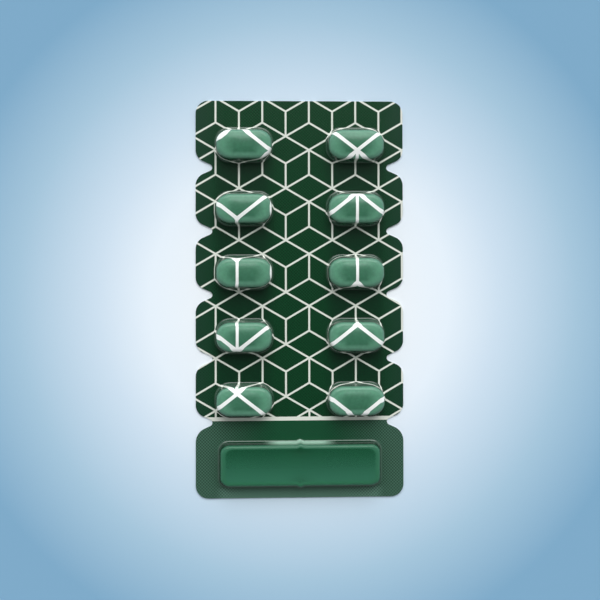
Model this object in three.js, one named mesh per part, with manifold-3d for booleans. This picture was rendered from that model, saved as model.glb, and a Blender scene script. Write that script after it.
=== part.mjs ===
// Blister pack of ten pellets: a thermoformed, printed film sealed on a thin lidding foil.
// Millimetres, +Z up. The foil's underside lies on z = 0, the pockets point up, X runs across
// the pack, +Y towards its top end, and the origin is the middle of the foil's underside.
import * as THREE from 'three';
import { mergeVertices } from 'three/addons/utils/BufferGeometryUtils.js';
import Module from 'manifold-3d';

const wasm = await Module();
wasm.setup();

// Sheet: one tile for each row of pellets, and a plain end tile
const sheetWidth = 65;
const topTileLength = 20.9; // from the top edge to the first pair of notches
const rowPitch = 19.9; // from one row of pellets, or pair of notches, to the next
const endTileLength = 23.5; // from the last pair of notches to the bottom edge
const rows = 5;
const filmThickness = 0.3; // before forming, and still at the seal
const foilThickness = 0.1;
const cornerRadius = 4;

// Notches in the two long edges
const notchDepth = 5.2;
const notchTipRadius = 1.1;
const notchFlankAngle = 24; // degrees between a flank and the width of the pack
const tileShoulderRadius = 3.6;
const endShoulderRadius = 4.4;

// Pellet pockets
const columnSpacing = 34.9;
const pocketAboveNotch = 7; // from a pair of notches up to the middle of the pockets above it
const pocketLength = 18.8;
const pocketWidth = 11.3;
const pocketCorner = 5;
const pocketRise = 5.8; // above the film's face
const pocketEndLean = 0.8; // how far an end wall leans in over its height
const pocketSideLean = 1.15;
const pocketTopRadius = 1.3;

// Long pocket in the end tile, which holds nothing
const longPocketLength = 51.6;
const longPocketWidth = 14.7;
const longPocketCorner = 3;
const longPocketRise = 4.2;
const longPocketLean = 1;
const longPocketTopRadius = 1;
const longPocketMargin = 3.2; // from the bottom edge of the sheet
const fluteWidth = 2.6; // of the V-shaped flute in the middle of each long wall
const fluteDepth = 0.55;

const formedThickness = 0.22; // the film is thinner where it was drawn into a pocket

// Pellets
const pelletEndClearance = 0.6;
const pelletSideClearance = 0.45;
const pelletHeadroom = 0.4; // under the roof of the pocket
const pelletEdgeRadius = 1.7;

// Print: white lines in a tumbling-block lattice, drawn on the flat film and formed with it
const printColumn = 7.31; // across the pack, from one column of corners to the next
const printUpright = 7.78; // length of an upright line
const printRise = 4.255; // of a slanted line over one column
const printSideOffset = 2.95; // from the middle of the pack to a column of corners
const printTopOffset = 15.3; // from the top edge to the head of an upright line in that column
const printLineWidth = 0.64;
const borderWidth = 1.2;
const borderAboveNotch = 1.1; // from the last pair of notches up to the middle of the border line
const inkThickness = 0.06;
const inkClearance = 0.03;
const stretchAcross = 1.4; // how much the flat print has grown on the roof of a pellet pocket
const stretchAlong = 1.88;
const printSlip = 0.36; // how far the flat print slid towards the top edge before it met the roof

const sheetLength = topTileLength + (rows - 1) * rowPitch + endTileLength;
const topEdge = sheetLength / 2;
const filmTop = foilThickness + filmThickness;
const notchYs = Array.from({ length: rows }, (_, row) => topEdge - topTileLength - row * rowPitch);
const columnXs = [-columnSpacing / 2, columnSpacing / 2];
const cutReach = 1; // how far a cutter runs past what it cuts

// Solids and joins
function toSolid(geometry) {
  const bare = geometry.index ? geometry.toNonIndexed() : geometry.clone();
  bare.deleteAttribute('normal');
  bare.deleteAttribute('uv');
  const merged = mergeVertices(bare, 1e-5);
  return new wasm.Manifold(new wasm.Mesh({
    numProp: 3,
    vertProperties: new Float32Array(merged.attributes.position.array),
    triVerts: new Uint32Array(merged.index.array),
  }));
}

function toGeometry(solid) {
  const mesh = solid.getMesh();
  const geometry = new THREE.BufferGeometry();
  geometry.setAttribute('position', new THREE.BufferAttribute(new Float32Array(mesh.vertProperties), 3));
  geometry.setIndex(new THREE.BufferAttribute(new Uint32Array(mesh.triVerts), 1));
  geometry.computeVertexNormals();
  return geometry;
}

// Joins neighbours first, so that no join has to walk through all that came before it
function joinAll(solids) {
  if (solids.length === 1) return solids[0];
  const middle = Math.ceil(solids.length / 2);
  return joinAll(solids.slice(0, middle)).add(joinAll(solids.slice(middle)));
}

// Outline of the sheet

// Draws one notch of the right-hand edge, going up from the tile below it to the tile above it
function notchPoints(notchY, lowerShoulder, upperShoulder) {
  const flank = THREE.MathUtils.degToRad(notchFlankAngle);
  const edge = sheetWidth / 2;
  const tipX = edge - notchDepth + notchTipRadius;
  const points = [];
  const shoulderHeight = (radius) => (radius + notchTipRadius
    - (radius - notchDepth + notchTipRadius) * Math.sin(flank)) / Math.cos(flank);
  const turn = Math.PI / 2 - flank;
  const steps = 4;
  for (let i = 0; i <= steps; i += 1) {
    const angle = (turn * i) / steps;
    points.push(new THREE.Vector2(edge - lowerShoulder + lowerShoulder * Math.cos(angle),
      notchY - shoulderHeight(lowerShoulder) + lowerShoulder * Math.sin(angle)));
  }
  for (let i = 0; i <= steps; i += 1) {
    const angle = Math.PI + turn - (2 * turn * i) / steps;
    points.push(new THREE.Vector2(tipX + notchTipRadius * Math.cos(angle),
      notchY + notchTipRadius * Math.sin(angle)));
  }
  for (let i = steps; i >= 0; i -= 1) {
    const angle = (turn * i) / steps;
    points.push(new THREE.Vector2(edge - upperShoulder + upperShoulder * Math.cos(angle),
      notchY + shoulderHeight(upperShoulder) - upperShoulder * Math.sin(angle)));
  }
  return points;
}

// The right-hand edge from the middle of the bottom to the middle of the top, and its mirror image
function sheetOutline() {
  const half = [];
  const corner = (centreY, startAngle) => {
    const steps = 6;
    for (let i = 0; i <= steps; i += 1) {
      const angle = startAngle + ((Math.PI / 2) * i) / steps;
      half.push(new THREE.Vector2(sheetWidth / 2 - cornerRadius + cornerRadius * Math.cos(angle),
        centreY + cornerRadius * Math.sin(angle)));
    }
  };
  corner(-topEdge + cornerRadius, -Math.PI / 2);
  notchYs.map((y, row) => [y, row]).reverse().forEach(([y, row]) => {
    const lowerShoulder = row === rows - 1 ? endShoulderRadius : tileShoulderRadius;
    half.push(...notchPoints(y, lowerShoulder, tileShoulderRadius));
  });
  corner(topEdge - cornerRadius, 0);
  const mirrored = half.map((point) => new THREE.Vector2(-point.x, point.y)).reverse();
  return new THREE.Shape([...half, ...mirrored]);
}

function plate(bottom, top) {
  const geometry = new THREE.ExtrudeGeometry(sheetOutline(), { depth: top - bottom, bevelEnabled: false });
  geometry.translate(0, 0, bottom);
  return toSolid(geometry);
}

// Pockets: rounded rectangles lofted along a wall section

const pelletPocket = {
  length: pocketLength,
  width: pocketWidth,
  corner: pocketCorner,
  rise: pocketRise,
  endLean: pocketEndLean,
  sideLean: pocketSideLean,
  topRadius: pocketTopRadius,
};
const longPocket = {
  length: longPocketLength,
  width: longPocketWidth,
  corner: longPocketCorner,
  rise: longPocketRise,
  endLean: longPocketLean,
  sideLean: longPocketLean,
  topRadius: longPocketTopRadius,
};

// One level of a pocket: its half length, half width, corner radius and height above the film's face
function level(pocket, inset, lean, z) {
  return {
    x: pocket.length / 2 - inset - lean * pocket.endLean,
    y: pocket.width / 2 - inset - lean * pocket.sideLean,
    corner: pocket.corner - inset - lean * pocket.sideLean,
    z,
  };
}

// Levels from the foot to the roof, moved out of the film's outer face by an offset, or in if it is negative
function pocketLevels(pocket, offset = 0) {
  const top = pocket.topRadius + offset;
  const topSteps = 1;
  const levels = [level(pocket, -offset, 0, 0)];
  for (let i = 0; i <= topSteps; i += 1) {
    const angle = ((Math.PI / 2) * i) / topSteps;
    levels.push(level(pocket, pocket.topRadius - top * Math.cos(angle), 1,
      pocket.rise - pocket.topRadius + top * Math.sin(angle)));
  }
  return levels;
}

function ringPoints({ x, y, corner, z }) {
  const cornerSteps = 3;
  const points = [];
  [[1, 1], [-1, 1], [-1, -1], [1, -1]].forEach(([signX, signY], quarter) => {
    for (let i = 0; i <= cornerSteps; i += 1) {
      const angle = (Math.PI / 2) * (quarter + i / cornerSteps);
      points.push(new THREE.Vector3(signX * (x - corner) + corner * Math.cos(angle),
        signY * (y - corner) + corner * Math.sin(angle), z));
    }
  });
  return points;
}

// A closed solid through rings with the same number of points, listed from the lowest up
function loft(levels) {
  const rings = levels.map(ringPoints);
  const count = rings[0].length;
  const positions = rings.flat().flatMap((point) => [point.x, point.y, point.z]);
  const triangles = [];
  for (let ring = 0; ring < rings.length - 1; ring += 1) {
    for (let i = 0; i < count; i += 1) {
      const a = ring * count + i;
      const b = ring * count + ((i + 1) % count);
      triangles.push(a, b, b + count, a, b + count, a + count);
    }
  }
  const last = (rings.length - 1) * count;
  for (let i = 1; i < count - 1; i += 1) {
    triangles.push(0, i + 1, i, last, last + i, last + i + 1);
  }
  const geometry = new THREE.BufferGeometry();
  geometry.setAttribute('position', new THREE.Float32BufferAttribute(positions, 3));
  geometry.setIndex(triangles);
  return toSolid(geometry);
}

// A pocket's solid with its face moved by an offset, run down below the film's face by a depth
function pocketSolid(pocket, offset, depth) {
  const levels = pocketLevels(pocket, offset);
  const below = { ...levels[0], z: -depth };
  return loft([below, ...levels]);
}

const pocketPlaces = notchYs.flatMap((y, row) => columnXs.map((x, column) => ({
  x,
  y: y + pocketAboveNotch,
  name: `row${row + 1}_${column === 0 ? 'left' : 'right'}`,
})));
const longPocketY = -topEdge + longPocketMargin + longPocketWidth / 2;

// The flutes that stand out of the long walls, moved in by the film's wall where they are inside it
function flutes(offset) {
  const height = longPocketRise - longPocketTopRadius / 2 + offset;
  const wall = longPocketWidth / 2 - longPocketLean;
  const inside = longPocketTopRadius;
  const reach = (lean) => (inside + fluteDepth + lean + offset) / (inside + fluteDepth + longPocketLean);
  return [-1, 1].map((side) => {
    const flute = new THREE.CylinderGeometry(reach(0), reach(longPocketLean), height, 4);
    flute.rotateX(Math.PI / 2);
    flute.scale((fluteWidth / 2) * (inside + fluteDepth) / fluteDepth,
      inside + fluteDepth + longPocketLean, 1);
    flute.translate(0, side * (wall - inside), height / 2);
    return toSolid(flute);
  });
}

// The outer pellet pockets, or their cavities, at their places
function pelletPockets(offset, depth) {
  const pocket = pocketSolid(pelletPocket, offset, depth);
  return joinAll(pocketPlaces.map(({ x, y }) => pocket.translate([x, y, filmTop])));
}

function allPockets(offset, depth) {
  const long = joinAll([pocketSolid(longPocket, offset, depth), ...flutes(offset)]);
  return pelletPockets(offset, depth).add(long.translate([0, longPocketY, filmTop]));
}

function formingFilm() {
  return plate(foilThickness, filmTop)
    .add(allPockets(0, filmThickness / 2))
    .subtract(allPockets(-formedThickness, filmThickness + foilThickness / 2));
}

// Pellets: pillows with a flat base and a flat crown, narrower at the top as their pockets are
function pellet() {
  const roof = pocketRise - formedThickness;
  const height = roof + filmThickness - pelletHeadroom;
  const base = level(pelletPocket, formedThickness, 0, 0);
  const crown = level(pelletPocket, formedThickness, 1, 0);
  const levels = [];
  const steps = 2;
  const pushArc = (from, startAngle, centreZ) => {
    for (let i = 0; i <= steps; i += 1) {
      const angle = startAngle + ((Math.PI / 2) * i) / steps;
      const inset = pelletEdgeRadius * (1 - Math.cos(angle));
      const clear = Math.min(pelletSideClearance, pelletEndClearance);
      levels.push({
        x: from.x - pelletEndClearance - inset,
        y: from.y - pelletSideClearance - inset,
        corner: from.corner - clear - inset,
        z: centreZ + pelletEdgeRadius * Math.sin(angle),
      });
    }
  };
  pushArc(base, -Math.PI / 2, pelletEdgeRadius);
  pushArc(crown, 0, height - pelletEdgeRadius);
  return loft(levels);
}

// Print

// The levels of a pellet pocket, each with how much the flat film has grown when it lies there. Forming
// stretches the film least at the foot and most at the roof.
const printLevels = (() => {
  const levels = pocketLevels(pelletPocket);
  const travelled = [0];
  levels.slice(1).forEach((here, i) => {
    travelled.push(travelled[i] + Math.hypot(here.y - levels[i].y, here.z - levels[i].z));
  });
  const roof = levels.at(-1);
  return levels.map((here, i) => {
    const left = 1 - travelled[i] / travelled.at(-1);
    const share = 1 - left * left;
    return {
      ...here,
      growX: here.x / THREE.MathUtils.lerp(levels[0].x, roof.x / stretchAcross, share),
      growY: here.y / THREE.MathUtils.lerp(levels[0].y, roof.y / stretchAlong, share),
      slip: printSlip * share,
    };
  });
})();

// The level at a position along the list of levels, which may lie between two of them
function levelAt(position) {
  const i = Math.min(Math.floor(position), printLevels.length - 2);
  const mix = (key) => THREE.MathUtils.lerp(printLevels[i][key], printLevels[i + 1][key], position - i);
  return Object.fromEntries(Object.keys(printLevels[i]).map((key) => [key, mix(key)]));
}

// How far a place lies outside a rounded rectangle, or inside it if negative
function outsideBy(x, y, shape) {
  const overX = Math.abs(x) - shape.x + shape.corner;
  const overY = Math.abs(y) - shape.y + shape.corner;
  return Math.hypot(Math.max(overX, 0), Math.max(overY, 0)) + Math.min(Math.max(overX, overY), 0)
    - shape.corner;
}

// Where a point of the flat film lies in plan, once the pocket near it is formed
function formed(point) {
  const pocket = pocketPlaces.find(({ x, y }) => Math.abs(point.x - x) < pocketLength / 2
    && Math.abs(point.y - y) < pocketWidth / 2);
  if (!pocket) return point;
  const grown = (here) => new THREE.Vector2((point.x - pocket.x) * here.growX,
    (point.y - pocket.y + here.slip) * here.growY);
  const outside = (position) => {
    const here = levelAt(position);
    const place = grown(here);
    return outsideBy(place.x, place.y, here);
  };
  let low = 0;
  let high = printLevels.length - 1;
  if (outside(low) >= 0) return point;
  const halvings = outside(high) > 0 ? 24 : 0;
  for (let i = 0; i < halvings; i += 1) {
    const middle = (low + high) / 2;
    if (outside(middle) > 0) high = middle;
    else low = middle;
  }
  return grown(levelAt(high)).add(new THREE.Vector2(pocket.x, pocket.y));
}

// Drops the points of a line that lie within a tolerance of the chord past them
function thinned(points, tolerance) {
  const first = points[0];
  const last = points.at(-1);
  const chord = last.clone().sub(first).normalize();
  const away = points.map((point) => Math.abs(chord.cross(point.clone().sub(first))));
  const widest = away.indexOf(Math.max(...away));
  if (away[widest] < tolerance) return [first, last];
  return [...thinned(points.slice(0, widest + 1), tolerance).slice(0, -1),
    ...thinned(points.slice(widest), tolerance)];
}

// A convex outline moved in by a distance, given anticlockwise
function inset(corners, distance) {
  return corners.map((corner, i) => {
    const before = corner.clone().sub(corners.at(i - 1)).normalize();
    const after = corners[(i + 1) % corners.length].clone().sub(corner).normalize();
    const turn = before.cross(after);
    return corner.clone().addScaledVector(after.sub(before), distance / turn);
  });
}

// The green field inside one block of the lattice, as an upright cutter through the formed ink
function fieldCutter(corners) {
  const spacing = 0.2;
  const tolerance = 0.2;
  const field = inset(corners, printLineWidth / 2);
  const outline = field.flatMap((from, i) => {
    const to = field[(i + 1) % field.length];
    const steps = Math.ceil(from.distanceTo(to) / spacing);
    const side = Array.from({ length: steps + 1 }, (_, step) => formed(from.clone().lerp(to, step / steps)));
    return thinned(side, tolerance).slice(0, -1);
  });
  const depth = filmTop + pocketRise + 2 * cutReach;
  const geometry = new THREE.ExtrudeGeometry(new THREE.Shape(outline), { depth, bevelEnabled: false });
  geometry.translate(0, 0, -cutReach);
  return toSolid(geometry);
}

// The blocks of the lattice: in every other column lie flat diamonds between upright lines, and
// between two columns lie the slanted blocks
function blocks() {
  const period = printUpright + 2 * printRise;
  const columns = Math.ceil(sheetWidth / 2 / printColumn) + 1;
  const periods = Math.ceil(sheetLength / period) + 1;
  const all = [];
  for (let column = -columns; column <= columns; column += 1) {
    const x = printSideOffset + column * printColumn;
    const lowered = column % 2 === 0 ? 0 : printRise;
    for (let count = -2; count < periods; count += 1) {
      const head = topEdge - printTopOffset - count * period - lowered;
      const foot = head - printUpright;
      const place = (side, y) => new THREE.Vector2(x + side * printColumn, y);
      const slope = column % 2 === 0 ? -printRise : printRise;
      all.push([place(-1, foot - printRise), place(0, foot - 2 * printRise), place(1, foot - printRise),
        place(0, foot)]);
      all.push([place(0, foot), place(1, foot + slope), place(1, head + slope), place(0, head)]);
    }
  }
  return all;
}

function printedLattice() {
  const borderY = notchYs.at(-1) + borderAboveNotch;
  const below = (y) => {
    const box = new THREE.BoxGeometry(2 * sheetWidth, sheetLength, sheetWidth);
    return toSolid(box.translate(0, y - sheetLength / 2, 0));
  };
  // A block that meets the pack has a corner no further from it than the block is wide or high
  const nearPack = ({ x, y }) => Math.abs(x) < sheetWidth / 2 + printColumn
    && y < topEdge + printUpright && y > borderY - printUpright;
  const fields = blocks().filter((corners) => corners.some(nearPack)).map(fieldCutter);
  const inkTop = inkClearance + inkThickness;
  const lines = plate(filmTop + inkClearance, filmTop + inkTop)
    .add(pelletPockets(inkTop, 0))
    .subtract(pelletPockets(inkClearance, cutReach))
    .subtract(joinAll(fields).subtract(below(borderY + borderWidth / 2)))
    .subtract(below(borderY - borderWidth / 2));
  // A rounded corner of the sheet can cut a short scrap off from the lattice, which is left out
  return lines.decompose().sort((a, b) => b.volume() - a.volume())[0];
}

// Finishes
const finishes = {
  film: { color: 0x14512f, roughness: 0.32, metalness: 0 },
  ink: { color: 0xe6efe4, roughness: 0.45, metalness: 0 },
  foil: { color: 0xc9cbcc, roughness: 0.35, metalness: 0.9 },
  pellet: { color: 0xb9d9c6, roughness: 0.6, metalness: 0 },
};

const pack = new THREE.Group();

function addPiece(name, solid, finish) {
  const mesh = new THREE.Mesh(toGeometry(solid), new THREE.MeshStandardMaterial(finishes[finish]));
  mesh.name = name;
  pack.add(mesh);
  return mesh;
}

addPiece('lidding_foil', plate(0, foilThickness), 'foil');
addPiece('forming_film', formingFilm(), 'film');
addPiece('printed_lattice', printedLattice(), 'ink');

const pelletSolid = pellet();
pocketPlaces.forEach(({ x, y, name }) => {
  addPiece(`pellet_${name}`, pelletSolid, 'pellet').position.set(x, y, foilThickness);
});

export default pack;
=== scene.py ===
# %% [markdown]
# A pack of pellets, sealed between a formed green film and a thin metal foil.
# The real pack starts as a flat, see-through green film. White lines are printed on it, pockets are
# drawn into it with heat, a pellet drops into each of ten pockets, and a foil is sealed on the back
# with a hot roller that leaves a fine pattern of points. This lesson follows the same steps: the
# film is modelled flat, the pockets are drawn out of it ring by ring, and each point remembers where
# it lay on the flat film, so that the print stretches over the pockets by itself.

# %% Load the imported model
import math

import bmesh
import bpy
from mathutils import Matrix, Vector, noise


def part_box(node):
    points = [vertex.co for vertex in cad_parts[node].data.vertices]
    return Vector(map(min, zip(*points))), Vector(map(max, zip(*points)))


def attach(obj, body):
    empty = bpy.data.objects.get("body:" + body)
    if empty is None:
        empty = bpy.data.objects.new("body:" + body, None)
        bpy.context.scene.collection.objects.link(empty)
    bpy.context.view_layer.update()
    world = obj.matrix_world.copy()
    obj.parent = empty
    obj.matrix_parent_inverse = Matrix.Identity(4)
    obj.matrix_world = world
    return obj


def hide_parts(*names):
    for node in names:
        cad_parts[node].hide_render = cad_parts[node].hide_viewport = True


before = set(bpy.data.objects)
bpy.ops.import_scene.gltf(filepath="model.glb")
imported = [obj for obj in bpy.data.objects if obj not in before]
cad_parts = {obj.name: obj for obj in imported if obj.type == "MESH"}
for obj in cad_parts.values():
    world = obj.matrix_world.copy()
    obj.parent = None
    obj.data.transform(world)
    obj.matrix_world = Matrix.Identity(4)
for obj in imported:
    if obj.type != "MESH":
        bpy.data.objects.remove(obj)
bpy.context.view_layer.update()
MM = 0.001
print("nodes", sorted(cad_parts))

# %% [markdown]
# The camera looks almost straight down. In the photograph the pockets lean a little away from a
# point left of the middle, and the pack's long edges run apart by a hair. So the lens stood over
# that point, tilted by less than three degrees, and the picture was framed below its axis. A small
# lens shift frames it in the same way, where a bigger tilt would make the edges run together.

# %% Camera
PICTURE_WIDTH = 600  # pixels
FOCAL_LENGTH = 1184.5  # pixels
LENS_AXIS = (296.2, 239.8)  # the pixel that the lens points at
LENS_PLACE = Vector((-20.09, 13.63, 370.98)) * MM
LENS_TURN = (0.755, -2.934, -0.1)  # degrees about X, Y and Z
SENSOR_WIDTH = 36  # millimetres
NEAREST_SEEN = 10 * MM

camera_data = bpy.data.cameras.new("overhead")
camera_data.sensor_fit = "HORIZONTAL"
camera_data.sensor_width = SENSOR_WIDTH
camera_data.lens = SENSOR_WIDTH * FOCAL_LENGTH / PICTURE_WIDTH
camera_data.shift_x = 0.5 - LENS_AXIS[0] / PICTURE_WIDTH
camera_data.shift_y = LENS_AXIS[1] / PICTURE_WIDTH - 0.5
camera_data.clip_start = NEAREST_SEEN
camera = bpy.data.objects.new("overhead", camera_data)
camera.location = LENS_PLACE
camera.rotation_euler = [math.radians(turn) for turn in LENS_TURN]
bpy.context.scene.collection.objects.link(camera)
bpy.context.scene.camera = camera
print("lens", round(camera_data.lens, 1), "mm, shift", round(camera_data.shift_x, 3),
      round(camera_data.shift_y, 3))

# %% [markdown]
# The sheet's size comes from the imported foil, and each pocket's place from its pellet. The other
# sizes are repeated from the part, in millimetres, because a formed film has more of them than its
# box can tell: how deep the notches are, how round their shoulders, how far the walls lean.

# %% Sizes of the sheet
sheet_low, sheet_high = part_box("lidding_foil")
SHEET_WIDTH = sheet_high.x - sheet_low.x
TOP_EDGE = sheet_high.y
FILM_THICKNESS = 0.3 * MM
FILM_FACE = sheet_high.z + FILM_THICKNESS

ROWS = 5
TOP_TILE_LENGTH = 20.9 * MM
ROW_PITCH = 19.9 * MM
CORNER_RADIUS = 4 * MM
NOTCH_DEPTH = 5.2 * MM
NOTCH_TIP_RADIUS = 1.1 * MM
NOTCH_FLANK_ANGLE = math.radians(24)
TILE_SHOULDER_RADIUS = 3.6 * MM
END_SHOULDER_RADIUS = 4.4 * MM
notch_ys = [TOP_EDGE - TOP_TILE_LENGTH - row * ROW_PITCH for row in range(ROWS)]
print("notches at", [round(y / MM, 2) for y in notch_ys], "mm")

# %% [markdown]
# The outline is a plain polygon first: four corners, and for each notch a V with a short flat tip.
# A vertex bevel then rounds each corner. The bevel wants the distance from the corner to where its
# arc starts, which for an arc of radius R that turns by an angle t is R tan(t / 2). On a corner that
# is sharper than a right angle the bevel would come out pointed, so the tip has two blunt corners
# whose arcs almost meet in the middle.

# %% Outline of the sheet
CORNER_STEPS = 12
SHOULDER_STEPS = 10
TIP_STEPS = 8
TIP_FIT = 0.98  # of the tip's radius, so that its two arcs end just before they meet


def round_corners(bm, corners, radius, turn, segments):
    """Rounds flat corners of a face with arcs of a radius, where the outline turns by an angle."""
    bmesh.ops.bevel(bm, geom=corners, offset=radius * math.tan(turn / 2), offset_type="OFFSET",
                    segments=segments, profile=0.5, affect="VERTICES", material=-1)


def sheet_outline(bm):
    """Makes the notched outline and gives its edges, sharp because the sheet is cut there."""
    edge = SHEET_WIDTH / 2
    shoulder_turn = math.pi / 2 - NOTCH_FLANK_ANGLE
    half_tip = NOTCH_TIP_RADIUS * math.tan(shoulder_turn / 2)
    mouth = half_tip + NOTCH_DEPTH * math.tan(NOTCH_FLANK_ANGLE)
    right = [("corner", (edge, -TOP_EDGE))]
    for row in reversed(range(ROWS)):
        y = notch_ys[row]
        lower_shoulder = "end_shoulder" if row == ROWS - 1 else "tile_shoulder"
        right += [(lower_shoulder, (edge, y - mouth)), ("tip", (edge - NOTCH_DEPTH, y - half_tip)),
                  ("tip", (edge - NOTCH_DEPTH, y + half_tip)), ("tile_shoulder", (edge, y + mouth))]
    right.append(("corner", (edge, TOP_EDGE)))
    left = [(kind, (-x, y)) for kind, (x, y) in reversed(right)]
    verts = []
    corners = {}
    for kind, (x, y) in right + left:
        verts.append(bm.verts.new((x, y, FILM_FACE)))
        corners.setdefault(kind, []).append(verts[-1])
    bm.faces.new(verts)
    round_corners(bm, corners["corner"], CORNER_RADIUS, math.pi / 2, CORNER_STEPS)
    round_corners(bm, corners["tile_shoulder"], TILE_SHOULDER_RADIUS, shoulder_turn, SHOULDER_STEPS)
    round_corners(bm, corners["end_shoulder"], END_SHOULDER_RADIUS, shoulder_turn, SHOULDER_STEPS)
    round_corners(bm, corners["tip"], TIP_FIT * NOTCH_TIP_RADIUS, shoulder_turn, TIP_STEPS)
    face = next(iter(bm.faces))
    edges = list(face.edges)
    for edge in edges:
        edge.smooth = False
    bmesh.ops.delete(bm, geom=[face], context="FACES_ONLY")
    return edges


# %% [markdown]
# Each point of the film will carry a few numbers for the finish: where it lay on the flat film,
# where it is in its pocket, how far up the wall and how far in on the roof it lies, whether its
# pocket is the long one, and how deep in a crease it is. The mesh keeps each in a layer of its own.

# %% Start the film
film_bm = bmesh.new()
vectors = film_bm.verts.layers.float_vector
numbers = film_bm.verts.layers.float
layers = {"flat": vectors.new("flat_place"), "place": vectors.new("pocket_place"),
          "climbed": numbers.new("climbed"), "roof": numbers.new("roof"),
          "long": numbers.new("long_pocket"), "crease": numbers.new("crease")}
fill_edges = sheet_outline(film_bm)
print("edges round the sheet", len(fill_edges))

# %% [markdown]
# The pellet pockets are rounded rectangles with leaning walls. The long pocket is wider and lower,
# and its corners are tighter.

# %% Pocket sizes
PELLET_POCKET = {"length": 18.8 * MM, "width": 11.3 * MM, "rise": 5.8 * MM, "end_lean": 0.8 * MM,
                 "side_lean": 1.15 * MM, "top_radius": 1.3 * MM, "crown": 0.45 * MM}
PELLET_POCKET_CORNER = 5 * MM
LONG_POCKET = {"length": 51.6 * MM, "width": 14.7 * MM, "rise": 4.2 * MM, "end_lean": 1 * MM,
               "side_lean": 1 * MM, "top_radius": 1 * MM, "crown": 0.12 * MM}
LONG_POCKET_CORNER = 3 * MM
LONG_POCKET_MARGIN = 3.2 * MM
long_y = -TOP_EDGE + LONG_POCKET_MARGIN + LONG_POCKET["width"] / 2
print("long pocket's middle at", round(long_y / MM, 2), "mm")

# %% [markdown]
# A pocket is drawn out of the film in rings, each a copy of the one before that is moved up and
# made smaller: a small fillet at the foot, a wall that leans in, a rounded edge and a roof that
# swells a little. The section of the wall says how big and how high each ring is.

# %% Section of a pocket
FOOT_RADIUS = 0.6 * MM
FOOT_STEPS = 4
WALL_STEPS = 4
EDGE_STEPS = 7
ROOF_STEPS = 7
MIDDLE_STEP = 0.6  # of a step, from the last ring to the middle of the roof


def wall_section(length, width, rise, end_lean, side_lean, top_radius, crown):
    """The rings from the foot to the middle of the roof, as half length, half width and height."""
    rings = []
    for i in range(FOOT_STEPS + 1):
        angle = math.pi / 2 * i / FOOT_STEPS
        inset = FOOT_RADIUS * math.sin(angle)
        rings.append((length / 2 - inset, width / 2 - inset, FOOT_RADIUS * (1 - math.cos(angle))))
    foot = Vector(rings[-1])
    edge = []
    for i in range(EDGE_STEPS + 1):
        angle = math.pi / 2 * i / EDGE_STEPS
        inset = top_radius * (1 - math.cos(angle))
        edge.append((length / 2 - end_lean - inset, width / 2 - side_lean - inset,
                     rise - crown - top_radius + top_radius * math.sin(angle)))
    rings += [tuple(foot.lerp(Vector(edge[0]), i / WALL_STEPS)) for i in range(1, WALL_STEPS)]
    rings += edge
    roof_ring = len(rings) - 1
    roof_a, roof_b, roof_z = rings[-1]
    for i in range(1, ROOF_STEPS + 1):
        share = 1 - i / (ROOF_STEPS + MIDDLE_STEP)
        rings.append((roof_a * share, roof_b * share, roof_z + crown * (1 - share * share)))
    return rings, roof_ring


rings, roof_ring = wall_section(**PELLET_POCKET)
long_rings, long_roof = wall_section(**LONG_POCKET)
print("rings", len(rings), "of which", len(rings) - 1 - roof_ring, "lie on the roof")

# %% [markdown]
# Heat and pressure stretch the film, and the print with it. On a roof of the pack a cell of the print
# is 1.4 times as wide and 1.88 times as long as on the flat film, and the walls take it from the one
# to the other. So each ring also gets the size that it had before it was drawn. The long pocket is
# not printed, and its film is taken as unstretched.

# %% Rings on the flat film
STRETCH_ACROSS = 1.4
STRETCH_ALONG = 1.88
PRINT_SLIP = -0.36 * MM  # from where a roof's print would lie to where it does, on the flat film


def stretched(climbed):
    """How much of the roof's stretch the film has, at a share of the way up the wall."""
    return math.sqrt(climbed)


def flat_sizes(rings, roof_ring, stretch_across, stretch_along):
    """For each ring the half sizes that it had on the flat film, and how far up the wall it is."""
    travelled = [0]
    for (_, before_b, before_z), (_, here_b, here_z) in zip(rings, rings[1:roof_ring + 1]):
        travelled.append(travelled[-1] + math.hypot(here_b - before_b, here_z - before_z))
    roof_a, roof_b, _ = rings[roof_ring]
    foot_a, foot_b, _ = rings[0]
    sizes = []
    for i, (a, b, _) in enumerate(rings):
        climbed = travelled[min(i, roof_ring)] / travelled[-1]
        share = stretched(climbed)
        if i < roof_ring:
            sizes.append((foot_a + (roof_a / stretch_across - foot_a) * share,
                          foot_b + (roof_b / stretch_along - foot_b) * share, climbed))
        else:
            sizes.append((a / stretch_across, b / stretch_along, climbed))
    return sizes


flats = flat_sizes(rings, roof_ring, STRETCH_ACROSS, STRETCH_ALONG)
long_flats = flat_sizes(long_rings, long_roof, 1, 1)
print("a roof", round(2 * rings[roof_ring][1] / MM, 1), "mm wide was drawn from",
      round(2 * flats[roof_ring][1] / MM, 1), "mm of film")

# %% [markdown]
# Extruding a ring's edges and scaling and lifting the new ones draws the pocket. The first ring is
# the rounded outline itself, with a narrow level margin that keeps the flat of the sheet flat.

# %% Draw a pocket
FLAT_MARGIN = 0.25 * MM
POCKET_CORNER_STEPS = 9


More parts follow.
